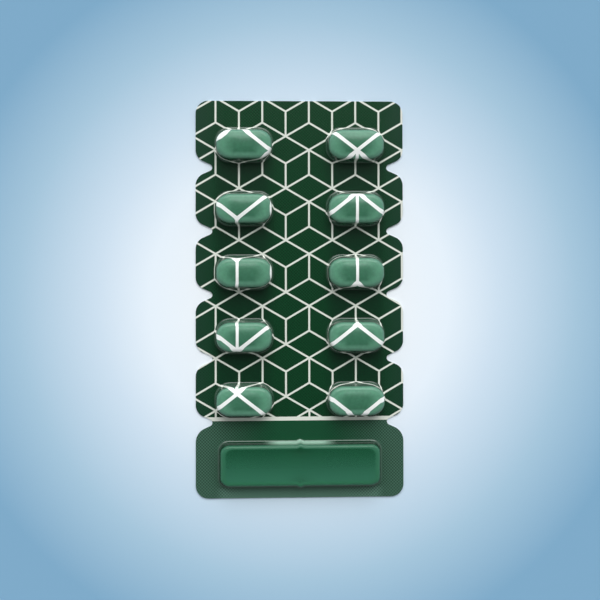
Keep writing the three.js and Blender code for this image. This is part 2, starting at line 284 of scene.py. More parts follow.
def draw_pocket(bm, centre, corners, radius, rings, roof_ring, flats, slip, long_pocket):
    """Draws a pocket out of the film at a place. Gives the edges where it leaves the flat sheet."""
    verts = [bm.verts.new((centre.x + x, centre.y + y, FILM_FACE)) for x, y, _ in corners]
    bm.faces.new(verts)
    rounded = [vert for vert, (_, _, is_corner) in zip(verts, corners) if is_corner]
    round_corners(bm, rounded, radius, math.pi / 2, POCKET_CORNER_STEPS)
    face = next(face for face in bm.faces
                if len(face.verts) > len(corners)
                and (face.calc_center_bounds() - Vector((centre.x, centre.y, FILM_FACE))).length < MM)
    outer = list(face.edges)
    bmesh.ops.delete(bm, geom=[face], context="FACES_ONLY")
    loop = outer
    half_a = rings[0][0] + FLAT_MARGIN
    half_b = rings[0][1] + FLAT_MARGIN
    height = 0
    to_centre = Matrix.Translation((-centre.x, -centre.y, 0))
    for i, ((a, b, z), (flat_a, flat_b, climbed)) in enumerate(zip(rings, flats)):
        made = bmesh.ops.extrude_edge_only(bm, edges=loop)["geom"]
        new_verts = [item for item in made if isinstance(item, bmesh.types.BMVert)]
        fresh = set(new_verts)
        loop = [item for item in made if isinstance(item, bmesh.types.BMEdge)
                and item.verts[0] in fresh and item.verts[1] in fresh]
        bmesh.ops.scale(bm, vec=(a / half_a, b / half_b, 1), space=to_centre, verts=new_verts)
        bmesh.ops.translate(bm, vec=(0, 0, z - height), verts=new_verts)
        half_a, half_b, height = a, b, z
        for vert in new_verts:
            across = (vert.co.x - centre.x) / a
            along = (vert.co.y - centre.y) / b
            flat_y = centre.y + along * flat_b + slip * stretched(climbed)
            vert[layers["flat"]] = (centre.x + across * flat_a, flat_y, 0)
            vert[layers["place"]] = (across, along, 0)
            vert[layers["climbed"]] = climbed
            vert[layers["roof"]] = max(0, i - roof_ring) / (len(rings) - 1 - roof_ring)
            vert[layers["long"]] = long_pocket
    bmesh.ops.edgeloop_fill(bm, edges=loop)
    return outer


def rectangle(half_a, half_b):
    """Corners as across, along and whether to round them."""
    return [(x, y, True) for x, y in
            ((half_a, -half_b), (half_a, half_b), (-half_a, half_b), (-half_a, -half_b))]


pellet_names = sorted(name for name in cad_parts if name.startswith("pellet_"))
pocket_corners = rectangle(PELLET_POCKET["length"] / 2 + FLAT_MARGIN,
                           PELLET_POCKET["width"] / 2 + FLAT_MARGIN)
for name in pellet_names:
    low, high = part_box(name)
    fill_edges += draw_pocket(film_bm, (low + high) / 2, pocket_corners, PELLET_POCKET_CORNER,
                              rings, roof_ring, flats, PRINT_SLIP, 0)
print("pellet pockets", len(pellet_names), "faces", len(film_bm.faces))

# %% [markdown]
# The long pocket has a small V-shaped flute in the middle of each long wall, which stiffens it. Its
# long sides have points every few millimetres, so that the wide roof can be given the slight
# unevenness of a film that nothing holds up from inside.

# %% Draw the long pocket
FLUTE_WIDTH = 2.6 * MM
FLUTE_DEPTH = 0.55 * MM
LONG_SIDE_SPANS = 8  # on each side of a flute


def fluted_rectangle(half_a, half_b):
    """A rectangle with a small V in the middle of each long side."""
    half_flute = FLUTE_WIDTH / 2
    reach = half_a - LONG_POCKET_CORNER - half_flute
    steps = [half_flute + reach * i / LONG_SIDE_SPANS for i in range(LONG_SIDE_SPANS)]
    side = [(-half_a, 0, True)] + [(-x, 0, False) for x in reversed(steps)]
    side += [(0, FLUTE_DEPTH, False)] + [(x, 0, False) for x in steps] + [(half_a, 0, True)]
    low = [(x, -half_b - out, is_corner) for x, out, is_corner in side]
    return low + [(-x, -y, is_corner) for x, y, is_corner in low]


long_corners = fluted_rectangle(LONG_POCKET["length"] / 2 + FLAT_MARGIN,
                                LONG_POCKET["width"] / 2 + FLAT_MARGIN)
fill_edges += draw_pocket(film_bm, Vector((0, long_y, 0)), long_corners, LONG_POCKET_CORNER,
                          long_rings, long_roof, long_flats, 0, 1)
print("faces", len(film_bm.faces))

# %% [markdown]
# The flat film is what is left between the outline and the pockets. A triangle fill closes it with
# holes where the pockets are. Its points lie where they always lay. The fill may face either way, so
# all faces are made to agree, and turned over if they look down.

# %% Fill the flat film
bmesh.ops.triangle_fill(film_bm, edges=fill_edges, use_beauty=True, use_dissolve=False)
for vert in film_bm.verts:
    if vert[layers["climbed"]] == 0:
        vert[layers["flat"]] = (vert.co.x, vert.co.y, 0)
bmesh.ops.recalc_face_normals(film_bm, faces=film_bm.faces)
if sum(face.normal.z * face.calc_area() for face in film_bm.faces) < 0:
    bmesh.ops.reverse_faces(film_bm, faces=film_bm.faces)
print("film faces", len(film_bm.faces), "open edges", sum(edge.is_boundary for edge in film_bm.edges))

# %% [markdown]
# The long roof is not quite flat: it sags a little and has a shallow crease from each flute. Noise
# with a wide scale gives the sag, and a dip that fades with the distance from a flute the crease.

# %% Uneven long roof
SAG = 0.1 * MM
SAG_SCALE = 9 * MM
SAG_START = 0.5  # the share of the roof, from its rim, over which the sag grows to its full depth
CREASE = 0.32 * MM
CREASE_REACH = 3 * MM

dips = []
for vert in film_bm.verts:
    if vert[layers["roof"]] > 0 and vert[layers["long"]] == 1:
        sag = SAG * (0.5 + 0.5 * noise.noise(vert.co / SAG_SCALE))
        to_flute = LONG_POCKET["width"] / 2 - abs(vert.co.y - long_y)
        crease = math.exp(-(math.hypot(vert.co.x, to_flute) / CREASE_REACH) ** 2)
        vert[layers["crease"]] = crease
        dips.append(min(1, vert[layers["roof"]] / SAG_START) * sag + CREASE * crease)
        vert.co.z -= dips[-1]
print("deepest dip", round(max(dips) / MM, 2), "mm")

# %% [markdown]
# So far the film is one surface, its printed outer side. A Solidify modifier gives it a wall on the
# inside, and sets the inner side's faces to the next material, because no print lies there.

# %% Wall of the film
film_mesh = bpy.data.meshes.new("formed_film")
film_bm.to_mesh(film_mesh)
film_bm.free()
film_mesh.shade_smooth()
film = bpy.data.objects.new("formed_film", film_mesh)
bpy.context.scene.collection.objects.link(film)
wall = film.modifiers.new("wall", "SOLIDIFY")
wall.thickness = FILM_THICKNESS
wall.offset = -1
wall.use_even_offset = False
wall.material_offset = 1
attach(film, "root")
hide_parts("forming_film", "printed_lattice")
print("film", round(wall.thickness / MM, 2), "mm thick")

# %% [markdown]
# The pellets are pillows with a smooth coating. They rest on the foil inside their pockets and show
# through the film. A cube with its edges bevelled in many steps gives the form, and its flat faces
# stay a little flat, as pressed pellets do. It is then narrowed towards its top, more across its long
# sides than across its ends, so that it stays clear of the leaning walls all the way up.

# %% Pellets
PELLET_BASE = (0.98, 0.945)  # a pellet's length and width at its base, as shares of its box
PELLET_TAPER = (0.06, 0.18)  # the share of each that is lost up to its top
PELLET_CORNER = 0.44  # of a pellet's width
PELLET_CORNER_STEPS = 10
PELLET_EDGE = 0.32  # of a pellet's height
PELLET_EDGE_STEPS = 6


def make_pellet(name):
    """A pellet in the place of a node."""
    low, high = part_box(name)
    size = high - low
    bm = bmesh.new()
    bmesh.ops.create_cube(bm, size=1)
    bmesh.ops.scale(bm, vec=size, verts=bm.verts)
    upright = [e for e in bm.edges if abs(e.verts[0].co.z - e.verts[1].co.z) > size.z / 2]
    bmesh.ops.bevel(bm, geom=upright, offset=PELLET_CORNER * size.y, offset_type="OFFSET",
                    segments=PELLET_CORNER_STEPS, profile=0.5, affect="EDGES", material=-1)
    rims = [e for e in bm.edges if abs(e.verts[0].co.z - e.verts[1].co.z) < size.z / 2]
    bmesh.ops.bevel(bm, geom=rims, offset=PELLET_EDGE * size.z, offset_type="OFFSET",
                    segments=PELLET_EDGE_STEPS, profile=0.5, affect="EDGES", material=-1)
    for vert in bm.verts:
        up = vert.co.z / size.z + 0.5
        vert.co.x *= PELLET_BASE[0] * (1 - PELLET_TAPER[0] * up)
        vert.co.y *= PELLET_BASE[1] * (1 - PELLET_TAPER[1] * up)
    bmesh.ops.translate(bm, vec=(low + high) / 2, verts=bm.verts)
    bmesh.ops.recalc_face_normals(bm, faces=bm.faces)
    mesh = bpy.data.meshes.new("coated_" + name)
    bm.to_mesh(mesh)
    bm.free()
    mesh.shade_smooth()
    piece = bpy.data.objects.new("coated_" + name, mesh)
    bpy.context.scene.collection.objects.link(piece)
    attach(piece, "root")
    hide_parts(name)
    return piece


pellets = [make_pellet(name) for name in pellet_names]
print("pellets", len(pellets), "faces each", len(pellets[0].data.polygons))

# %% [markdown]
# The finishes are made of nodes. A pattern here is arithmetic on a place, so a few small helpers
# write that arithmetic as Math nodes and hide the wiring. An input is fed a number, a colour or
# another node's output in the same way.

# %% Helpers for numbers
def feed(tree, socket, value):
    """Gives an input a number or a colour, or links it to an output."""
    if isinstance(value, bpy.types.NodeSocket):
        tree.links.new(value, socket)
    else:
        socket.default_value = (*value, 1) if isinstance(value, tuple) else value


def reckon(tree, operation, *values):
    """One Math node."""
    node = tree.nodes.new("ShaderNodeMath")
    node.operation = operation
    for socket, value in zip(node.inputs, values):
        feed(tree, socket, value)
    return node.outputs[0]


def size_of(tree, number):
    """A number without its sign."""
    return reckon(tree, "ABSOLUTE", number)


def gap_between(tree, first, second):
    """How far apart two numbers are."""
    return size_of(tree, reckon(tree, "SUBTRACT", first, second))


def distance_of(tree, x, y):
    """How far a place is from the origin."""
    squares = [reckon(tree, "MULTIPLY", number, number) for number in (x, y)]
    return reckon(tree, "SQRT", reckon(tree, "ADD", *squares))


def between(tree, share, first, second):
    """A number on the way from the first to the second, by a share."""
    return reckon(tree, "MULTIPLY_ADD", share, reckon(tree, "SUBTRACT", second, first), first)


def ramp(tree, value, low, high, low_to=0, high_to=1):
    """A smooth step between two values."""
    node = tree.nodes.new("ShaderNodeMapRange")
    node.interpolation_type = "SMOOTHSTEP"
    inputs = {"Value": value, "From Min": low, "From Max": high, "To Min": low_to, "To Max": high_to}
    for key, given in inputs.items():
        feed(tree, node.inputs[key], given)
    return node.outputs["Result"]


def attribute(tree, name):
    """What a layer of the mesh holds."""
    node = tree.nodes.new("ShaderNodeAttribute")
    node.attribute_name = name
    return node


def place_of(tree):
    """The place on the piece, in metres."""
    return tree.nodes.new("ShaderNodeTexCoord").outputs["Object"]


def x_and_y(tree, source, factor):
    """X and Y of a vector, times a factor."""
    node = tree.nodes.new("ShaderNodeSeparateXYZ")
    tree.links.new(source, node.inputs[0])
    return [reckon(tree, "MULTIPLY", node.outputs[axis], factor) for axis in "XY"]


# %% [markdown]
# Colours are written as they look on a screen, from 0 to 255, and turned into the linear values that
# light is reckoned in. The film's finish is mixed from many of them, and each mix is one node.

# %% Helpers for colours
def seen(*levels):
    """A linear colour from the levels that a screen shows."""
    return tuple(((level / 255 + 0.055) / 1.055) ** 2.4 if level > 10 else level / 255 / 12.92
                 for level in levels)


def colour_mix(tree, share, first, second):
    """A colour on the way from the first to the second, by a share."""
    node = tree.nodes.new("ShaderNodeMix")
    node.data_type = "RGBA"
    feed(tree, node.inputs["Factor"], share)
    feed(tree, node.inputs[6], first)
    feed(tree, node.inputs[7], second)
    return node.outputs[2]


def brightened(tree, colour, factor):
    """A colour times a number."""
    node = tree.nodes.new("ShaderNodeVectorMath")
    node.operation = "SCALE"
    feed(tree, node.inputs[0], colour)
    feed(tree, node.inputs["Scale"], factor)
    return node.outputs[0]


print("half of full brightness on a screen is", round(seen(128)[0], 2), "of the light")

# %% [markdown]
# Plastic, foil and coating also need a soft noise, a bump and, for the film, a share of light that
# goes straight through. A Mix Shader between the surface and a Transparent shader gives that last
# one: it bends no light, as a film this thin bends almost none.

# %% Helpers for surfaces
NOISE_DETAIL = 3
NOISE_SPREAD = (0.3, 0.7)  # where most of a noise's values lie


def new_material(name):
    """A material with its node tree and main shader."""
    material = bpy.data.materials.new(name)
    material.use_nodes = True
    tree = material.node_tree
    return material, tree, tree.nodes["Principled BSDF"]


def soft_noise(tree, scale):
    """Clouds that are fixed to the piece."""
    node = tree.nodes.new("ShaderNodeTexNoise")
    feed(tree, node.inputs["Scale"], scale)
    feed(tree, node.inputs["Detail"], NOISE_DETAIL)
    tree.links.new(place_of(tree), node.inputs["Vector"])
    return node.outputs["Fac"]


def add_bump(tree, shader, height, strength, distance):
    """Raises a surface by a pattern."""
    bump = tree.nodes.new("ShaderNodeBump")
    feed(tree, bump.inputs["Strength"], strength)
    feed(tree, bump.inputs["Distance"], distance)
    tree.links.new(height, bump.inputs["Height"])
    tree.links.new(bump.outputs["Normal"], shader.inputs["Normal"])


def let_light_through(tree, shader, share, tint):
    """Makes a surface see-through by a share, with a tint."""
    clear = tree.nodes.new("ShaderNodeBsdfTransparent")
    feed(tree, clear.inputs["Color"], tint)
    blend = tree.nodes.new("ShaderNodeMixShader")
    feed(tree, blend.inputs["Fac"], share)
    tree.links.new(shader.outputs["BSDF"], blend.inputs[1])
    tree.links.new(clear.outputs["BSDF"], blend.inputs[2])
    tree.links.new(blend.outputs["Shader"], tree.nodes["Material Output"].inputs["Surface"])


# %% [markdown]
# The print is a lattice of tumbling blocks, an old pattern of patchwork and floors. Two kinds of
# column take turns across the pack. Folding the width with a ping-pong and the length with a
# modulo leaves one small cell to describe: four slanted lines and two upright ones. The distance
# to the nearest of them, against half a line's width, says where the white is.

# %% Lattice, in millimetres
PRINT_COLUMN = 7.31
PRINT_UPRIGHT = 7.78
PRINT_RISE = 4.255
PRINT_SIDE_OFFSET = 2.95
PRINT_TOP_OFFSET = 15.3
PRINT_PERIOD = 2 * (PRINT_RISE + PRINT_UPRIGHT / 2)
PRINT_SLOPE = PRINT_RISE / PRINT_COLUMN


def upright_gap(tree, across, down, head):
    """The distance to an upright line that starts at a head."""
    beyond = reckon(tree, "SUBTRACT", gap_between(tree, down, head + PRINT_UPRIGHT / 2),
                    PRINT_UPRIGHT / 2)
    return reckon(tree, "MAXIMUM", across, beyond)


def line_distance(tree, x, y):
    """How far a place on the flat film lies from the nearest line of the lattice."""
    across = reckon(tree, "PINGPONG", reckon(tree, "SUBTRACT", x, PRINT_SIDE_OFFSET), PRINT_COLUMN)
    down = reckon(tree, "SUBTRACT", TOP_EDGE / MM - PRINT_TOP_OFFSET, y)
    down = reckon(tree, "FLOORED_MODULO", down, PRINT_PERIOD)
    rise = reckon(tree, "MULTIPLY", across, PRINT_SLOPE)
    falling = reckon(tree, "SUBTRACT", down, rise)
    rising = reckon(tree, "ADD", down, rise)
    slanted = size_of(tree, falling)
    for line, start in ((falling, PRINT_UPRIGHT), (falling, PRINT_PERIOD), (rising, PRINT_PERIOD)):
        slanted = reckon(tree, "MINIMUM", slanted, gap_between(tree, line, start))
    slanted = reckon(tree, "MULTIPLY", slanted, math.cos(math.atan(PRINT_SLOPE)))
    first = upright_gap(tree, across, down, 0)
    second = upright_gap(tree, reckon(tree, "SUBTRACT", PRINT_COLUMN, across), down, PRINT_RISE)
    return reckon(tree, "MINIMUM", slanted, reckon(tree, "MINIMUM", first, second))


print("the lattice repeats every", 2 * PRINT_COLUMN, "mm across and", round(PRINT_PERIOD, 2), "mm along")

# %% [markdown]
# The film's finish starts from the numbers that its points carry. The white lines lie where the
# lattice was on the flat film, above a border line that ends the print. Ink spreads a little where
# the film is stretched, so a line grows on its way up a wall, and most at a roof's rim.

# %% White print, in millimetres
LINE_WIDTH = 0.58
ROOF_LINE_GROWTH = 0.03  # how much a line's half width grows on a roof, before it is stretched
RIM_LINE_GROWTH = 0.05  # the same at a roof's rim
RIM_GROWTH_REACH = 0.5  # how far in on the roof the rim's growth fades, as a share
BORDER_WIDTH = 1.2
BORDER_ABOVE_NOTCH = 1.1
LINE_EDGE = 0.06  # over which a printed line fades out
border_y = notch_ys[-1] / MM + BORDER_ABOVE_NOTCH

film_finish, tree, shader = new_material("printed_green_film")
flat_x, flat_y = x_and_y(tree, attribute(tree, "flat_place").outputs["Vector"], 1 / MM)
across, along = x_and_y(tree, attribute(tree, "pocket_place").outputs["Vector"], 1)
climbed = attribute(tree, "climbed").outputs["Fac"]
roof = attribute(tree, "roof").outputs["Fac"]
long_pocket = attribute(tree, "long_pocket").outputs["Fac"]
crease = attribute(tree, "crease").outputs["Fac"]
object_x, object_y = x_and_y(tree, place_of(tree), 1 / MM)
from_middle = size_of(tree, object_x)

growth = ramp(tree, roof, 0, RIM_GROWTH_REACH, RIM_LINE_GROWTH, ROOF_LINE_GROWTH)
half_line = reckon(tree, "MULTIPLY_ADD", climbed, growth, LINE_WIDTH / 2)
past_line = reckon(tree, "SUBTRACT", line_distance(tree, flat_x, flat_y), half_line)
lattice = ramp(tree, past_line, LINE_EDGE / 2, -LINE_EDGE / 2)
printed = ramp(tree, flat_y, border_y - LINE_EDGE / 2, border_y + LINE_EDGE / 2)
border = ramp(tree, gap_between(tree, flat_y, border_y), BORDER_WIDTH / 2 + LINE_EDGE / 2,
              BORDER_WIDTH / 2 - LINE_EDGE / 2)
white = reckon(tree, "MAXIMUM", reckon(tree, "MULTIPLY", lattice, printed), border)
print("border line at", round(border_y, 2), "mm")

# %% [markdown]
# Over the foil the green film looks dark, because light crosses it twice and little comes back. A painted
# sheen makes it a little paler and greyer towards the long edges, and painted shade from the pockets makes
# it deeper between the rows of pockets. It is paler on the bottom tile, with more painted sheen towards the
# tile's sides and bottom, and a strip under the long pocket is painted lighter, as painted light that lifts
# the shadow the pocket casts there. Each change is a smooth step between two places, written here in
# millimetres from the middle line unless it says otherwise.

# %% Green of the flat film
FIELD_GREEN = seen(4, 58, 30)
# painted sheen: paler and greyer towards the long edges
FIELD_SHEEN_GREEN = seen(22, 60, 41)
FIELD_SHEEN_SIDE = (22, 33)
# painted shade between the rows of pockets
ROW_SHADE_GREEN = seen(4, 49, 27)
ROW_SHADE_INNER = (7, 12)
ROW_SHADE_OUTER = (28, 24)
ROW_SHADE_TOP = (10, 4)  # above the first pair of notches
END_GREEN = seen(18, 73, 46)
# painted sheen towards the bottom tile's sides and bottom
END_SHEEN_GREEN = seen(57, 90, 74)
END_SHEEN_SIDE = (8, 31)
# painted light under the long pocket, where its shadow falls
LIGHT_STRIP_GREEN = seen(84, 120, 104)
LIGHT_STRIP_EDGE = (0.4, -0.4)  # above the long pocket's lower side
LIGHT_STRIP_END = (1, -3)  # past the long pocket's end

# Painted sheen, a little paler and greyer towards the long edges.
field_green = colour_mix(tree, ramp(tree, from_middle, *FIELD_SHEEN_SIDE), FIELD_GREEN, FIELD_SHEEN_GREEN)
# Painted shade: a deeper green between the rows of pockets, where their shadows fall.
row_shade = reckon(tree, "MULTIPLY", ramp(tree, from_middle, *ROW_SHADE_INNER), ramp(tree, from_middle, *ROW_SHADE_OUTER))
row_shade = reckon(tree, "MULTIPLY", row_shade,
              ramp(tree, object_y, *(notch_ys[0] / MM + above for above in ROW_SHADE_TOP)))
field_green = colour_mix(tree, row_shade, field_green, ROW_SHADE_GREEN)

long_low = (long_y - LONG_POCKET["width"] / 2) / MM
long_high = (long_y + LONG_POCKET["width"] / 2) / MM
long_end = LONG_POCKET["length"] / MM / 2
# Painted sheen on the bottom tile: paler towards its sides and its bottom.
sheen_to_bottom = ramp(tree, object_y, long_y / MM, long_low)
end_sheen = reckon(tree, "MAXIMUM", ramp(tree, from_middle, *END_SHEEN_SIDE), sheen_to_bottom)
end_green = colour_mix(tree, end_sheen, END_GREEN, END_SHEEN_GREEN)
# Painted light: a paler strip under the long pocket that lifts its cast shadow.
light_strip = reckon(tree, "MULTIPLY", ramp(tree, object_y, *(long_low + above for above in LIGHT_STRIP_EDGE)),
               ramp(tree, from_middle, *(long_end + past for past in LIGHT_STRIP_END)))
end_green = colour_mix(tree, light_strip, end_green, LIGHT_STRIP_GREEN)
flat_green = colour_mix(tree, printed, end_green, field_green)
print("nodes in the film's finish so far", len(tree.nodes))

# %% [markdown]
# The sealing roller presses its points through the film, so the flat film has a fine pattern of
# light and dark points, and a bump. In the photograph it shows best at the sides of the bottom tile
# and hardly in the middle of the pack. The product of two sine waves gives points in diagonal rows.

# %% Seal pattern
SEAL_PITCH = 0.68  # millimetres, from one light point to the next
SEAL_SIDE = (4, 26)
SEAL_CONTRAST = (0.1, 0.65)  # in the middle and at the sides of the bottom tile
PRINTED_SEAL_SIDE = (20, 32)
PRINTED_SEAL_CONTRAST = (0.04, 0.25)
FLAT_LIMIT = 0.001  # up to this share of the way up a wall the film counts as flat


def seal_points(tree, x, y):
    """The fine pattern of points that the sealing roller leaves, from -1 to 1."""
    turns = math.sqrt(2) * math.pi / SEAL_PITCH
    return reckon(tree, "MULTIPLY", *(reckon(tree, "SINE", reckon(tree, "MULTIPLY", axis, turns))
                                      for axis in (x, y)))


on_flat = reckon(tree, "LESS_THAN", climbed, FLAT_LIMIT)
pressed = reckon(tree, "MULTIPLY", seal_points(tree, object_x, object_y), on_flat)
contrast = between(tree, printed, ramp(tree, from_middle, *SEAL_SIDE, *SEAL_CONTRAST),
                   ramp(tree, from_middle, *PRINTED_SEAL_SIDE, *PRINTED_SEAL_CONTRAST))
flat_green = brightened(tree, flat_green, reckon(tree, "MULTIPLY_ADD", pressed, contrast, 1))
print("light points in a square centimetre", round((10 / SEAL_PITCH) ** 2))

# %% [markdown]
# Over a pale pellet the film looks mint. So the colour follows the way up a pocket: dark on the flat, a
# deeper wall, a light rim, partly where the film is thinnest and partly a painted reflection, then the
# roof. The rim's light colour reaches further in on the upper side and at the ends than on the lower side:
# painted light on the pellet below, brightest on the side towards the lamp. The empty long pocket stays
# dark and turns lighter towards the bottom, with a narrow rim, and a pale band in the middle of its upper
# wall that is a painted reflection of the lamp. Its creases are shaded. Very fine clouds keep the film over
# the pellets from looking flat.

# %% Colours of the pockets
WALL_GREEN = seen(34, 78, 56)
RIM_MINT = seen(106, 164, 138)
ROOF_MINT = seen(70, 125, 101)
LONG_WALL_GREEN = seen(10, 48, 30)
LONG_RIM_GREEN = seen(68, 144, 111)
LONG_TOP_GREEN = seen(12, 92, 62)
LONG_BOTTOM_GREEN = seen(73, 148, 121)
# painted reflection of the lamp on the long pocket's upper wall
REFLECTION_BAND = seen(150, 190, 168)
REFLECTION_BAND_END = (12, 6)  # millimetres from the middle line
REFLECTION_BAND_WALL = (0.9, 0.97)  # of the way from the pocket's middle to its upper side
WALL_START = (0.02, 0.15)  # of the way up the wall
RIM_START = (0.6, 0.85)
CREASE_SHADE = 0.4  # how bright the film stays in the middle of a crease
MOTTLE_SCALE = 1100
MOTTLE = (0.93, 1.07)

long_roof_green = colour_mix(tree, ramp(tree, object_y, long_high, long_low), LONG_TOP_GREEN,
                             LONG_BOTTOM_GREEN)
wall_green = colour_mix(tree, long_pocket, WALL_GREEN, LONG_WALL_GREEN)
rim_green = colour_mix(tree, long_pocket, RIM_MINT, LONG_RIM_GREEN)
roof_green = colour_mix(tree, long_pocket, ROOF_MINT, long_roof_green)
# Painted reflection: a pale band in the middle of the long pocket's upper wall.
reflection_band = reckon(tree, "MULTIPLY", ramp(tree, from_middle, *REFLECTION_BAND_END), ramp(tree, along, *REFLECTION_BAND_WALL))
wall_green = colour_mix(tree, reckon(tree, "MULTIPLY", reflection_band, long_pocket), wall_green, REFLECTION_BAND)
green = colour_mix(tree, ramp(tree, climbed, *WALL_START), flat_green, wall_green)
# A light rim, partly where the film is thinnest and partly a painted reflection.
green = colour_mix(tree, ramp(tree, climbed, *RIM_START), green, rim_green)
print("nodes in the film's finish so far", len(tree.nodes))

# %% Reach of the rims
# Painted light: the rim's light colour reaches further in on the upper side, which faces the lamp, and at
# the ends.
LIT_SIDE_REACH = 0.65  # how far in on the roof a rim's light colour fades, as a share
SHADED_SIDE_REACH = 0.36
END_REACH = 0.65
SIDE_CHANGE = (-0.25, 0.35)  # from the lower side's reach to the upper one's, along the pocket's width
END_CHANGE = (0.5, 0.85)  # to the end's reach, along its length
LONG_UPPER_REACH = 0.06
LONG_LOWER_REACH = 0.2
LONG_END_REACH = 0.05
LONG_SIDE_CHANGE = (-0.3, 0.3)
LONG_END_CHANGE = (0.9, 0.97)

from_end = size_of(tree, across)
# Painted light on the pellets: longer reach on the lit upper side and at the ends.
reach = reckon(tree, "MAXIMUM", ramp(tree, along, *SIDE_CHANGE, SHADED_SIDE_REACH, LIT_SIDE_REACH),
               ramp(tree, from_end, *END_CHANGE, SHADED_SIDE_REACH, END_REACH))
long_reach = between(tree, ramp(tree, from_end, *LONG_END_CHANGE),
                     ramp(tree, along, *LONG_SIDE_CHANGE, LONG_LOWER_REACH, LONG_UPPER_REACH),
                     LONG_END_REACH)
reach = between(tree, long_pocket, reach, long_reach)
green = colour_mix(tree, ramp(tree, reckon(tree, "DIVIDE", roof, reach), 0, 1), green, roof_green)
mottle = ramp(tree, soft_noise(tree, MOTTLE_SCALE), *NOISE_SPREAD, *MOTTLE)
over_pellet = reckon(tree, "MULTIPLY", climbed, reckon(tree, "SUBTRACT", 1, long_pocket))
green = brightened(tree, green, between(tree, over_pellet, 1, mottle))
green = brightened(tree, green, between(tree, crease, 1, CREASE_SHADE))
print("nodes in the film's finish so far", len(tree.nodes))

# %% [markdown]
# The film shines softly under a thin clear coat, and its roofs are duller than the flat. It lets no
# light straight through on the flat, where the foil is close behind and its effect is already in the
# colour, some over the pellets, and more over the empty long pocket. The ink is opaque.

# %% Shine and see-through
FLAT_WHITE = seen(228, 232, 222)
ROOF_WHITE = seen(246, 249, 246)
WHITE_CHANGE = (0.5, 0.9)  # of the way up the wall
DULL_CHANGE = (0.5, 1)
FILM_ROUGHNESS = (0.26, 0.42)  # on the flat and on the roofs
FILM_COAT = 0.35
FILM_COAT_ROUGHNESS = 0.14
FILM_BUMP = 0.25
FILM_BUMP_HEIGHT = 0.04 * MM
FILM_TINT = seen(120, 205, 160)
CLEAR_OVER_PELLET = 0.35  # the share of light that goes straight through
CLEAR_CHANGE = (0.1, 0.9)
CLEAR_OVER_NOTHING = 0.55
LONG_CLEAR_CHANGE = (0.3, 0.7)

white_ink = colour_mix(tree, ramp(tree, climbed, *WHITE_CHANGE), FLAT_WHITE, ROOF_WHITE)
feed(tree, shader.inputs["Base Color"], colour_mix(tree, white, green, white_ink))
feed(tree, shader.inputs["Roughness"], ramp(tree, climbed, *DULL_CHANGE, *FILM_ROUGHNESS))
feed(tree, shader.inputs["Coat Weight"], FILM_COAT)
feed(tree, shader.inputs["Coat Roughness"], FILM_COAT_ROUGHNESS)
add_bump(tree, shader, pressed, FILM_BUMP, FILM_BUMP_HEIGHT)
clear = between(tree, long_pocket, ramp(tree, climbed, *CLEAR_CHANGE, 0, CLEAR_OVER_PELLET),
                ramp(tree, climbed, *LONG_CLEAR_CHANGE, 0, CLEAR_OVER_NOTHING))
clear = reckon(tree, "MULTIPLY", clear, reckon(tree, "SUBTRACT", 1, white))
let_light_through(tree, shader, clear, FILM_TINT)
film_mesh.materials.append(film_finish)
print("nodes in the film's finish", len(tree.nodes))

# %% [markdown]
# The inner side of the film is the same plastic without print. It lets most light through, so that
# the colour is laid on only once, by the outer side.

# %% Inner side of the film
INNER_GREEN = seen(70, 130, 100)
INNER_ROUGHNESS = 0.3
INNER_TINT = seen(235, 248, 240)
INNER_CLEAR = 0.8

inner_finish, tree, shader = new_material("inner_side_of_film")
feed(tree, shader.inputs["Base Color"], INNER_GREEN)
feed(tree, shader.inputs["Roughness"], INNER_ROUGHNESS)
let_light_through(tree, shader, INNER_CLEAR, INNER_TINT)
film_mesh.materials.append(inner_finish)
print("film finishes", [material.name for material in film_mesh.materials])

# %% [markdown]
# The foil is thin rolled metal: bright, a little dull, with the points of the sealing roller pressed
# into it wherever film lies behind it. Over the pockets it stays smooth. The distance to a rounded
# rectangle says which is which, and folding the pack's width in two and its length by rows makes one
# rectangle stand for all ten pockets. A faint cloudiness in its roughness keeps the foil from
# looking like a mirror.

# %% Where the foil is pressed
PRESS_FADE = 0.4  # millimetres past a pocket's outline


def pressed_beside(tree, x, y, pocket, corner):
    """1 beside a pocket and 0 over it, with a short fade. X and Y start at its middle."""
    half_sizes = (pocket["length"] / MM / 2, pocket["width"] / MM / 2)
    beyond = [reckon(tree, "MAXIMUM", reckon(tree, "SUBTRACT", size_of(tree, place), half - corner), 0)
              for place, half in zip((x, y), half_sizes)]
    return ramp(tree, distance_of(tree, *beyond), corner, corner + PRESS_FADE)


foil_finish, tree, shader = new_material("sealed_foil")
object_x, object_y = x_and_y(tree, place_of(tree), 1 / MM)
low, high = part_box(pellet_names[0])
first_pocket = (low + high) / 2 / MM
pitch = ROW_PITCH / MM
column_x = reckon(tree, "SUBTRACT", size_of(tree, object_x), abs(first_pocket.x))
row_y = reckon(tree, "SUBTRACT", first_pocket.y + pitch / 2, object_y)
row_y = reckon(tree, "SUBTRACT", reckon(tree, "FLOORED_MODULO", row_y, pitch), pitch / 2)
past_rows = reckon(tree, "LESS_THAN", object_y, notch_ys[-1] / MM)
beside_pellets = pressed_beside(tree, column_x, row_y, PELLET_POCKET, PELLET_POCKET_CORNER / MM)
beside_pellets = reckon(tree, "MAXIMUM", beside_pellets, past_rows)
beside_long = pressed_beside(tree, object_x, reckon(tree, "SUBTRACT", object_y, long_y / MM),
                             LONG_POCKET, LONG_POCKET_CORNER / MM)
sealed = reckon(tree, "MULTIPLY", beside_pellets, beside_long)
sealed_points = reckon(tree, "MULTIPLY", sealed, seal_points(tree, object_x, object_y))
print("first pocket at", [round(place, 2) for place in first_pocket.xy], "mm")

